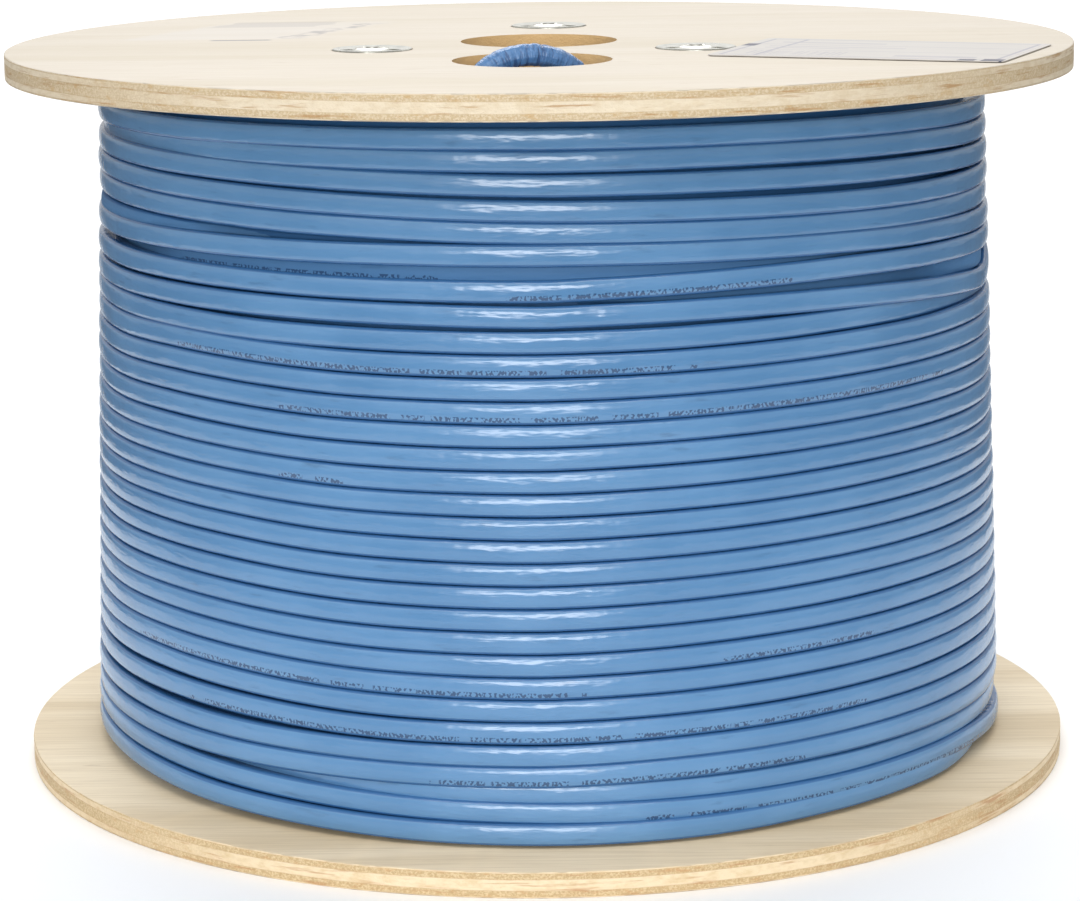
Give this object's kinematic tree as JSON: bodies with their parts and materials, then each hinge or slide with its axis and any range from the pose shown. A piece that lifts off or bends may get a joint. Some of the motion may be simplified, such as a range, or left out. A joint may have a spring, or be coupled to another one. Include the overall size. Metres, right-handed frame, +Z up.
{
  "type": "wound cable reel",
  "caption": "Plywood cable reel with two flanges clamped onto a fibre drum by tie bolts, fully wound with round blue data cable.",
  "frame": {"origin": "on the reel's axis, in the plane of the bottom flange's resting face", "axes": "+Z up along the reel's axis, from the bottom flange to the top flange; -Y towards the side where the start hole lies"},
  "size_m": [0.4064, 0.4064, 0.2807],
  "materials": {
    "plywood": "matte",
    "fibre_tube": "matte",
    "cable_jacket": "satin",
    "zinc_plated_steel": "satin",
    "label_paper": "matte"
  },
  "bodies": {
    "root": {"bottom_flange": "plywood", "top_flange": "plywood", "drum_tube": "fibre_tube", "cable_winding": "cable_jacket", "cable_start_tail": "cable_jacket", "spool_label": "label_paper", "tie_bolt_1": "zinc_plated_steel", "tie_bolt_2": "zinc_plated_steel", "tie_bolt_3": "zinc_plated_steel", "bolt_washer_1": "zinc_plated_steel", "bolt_washer_2": "zinc_plated_steel", "bolt_washer_3": "zinc_plated_steel", "tee_nut_1": "zinc_plated_steel", "tee_nut_2": "zinc_plated_steel", "tee_nut_3": "zinc_plated_steel"}
  },
  "joints": []
}
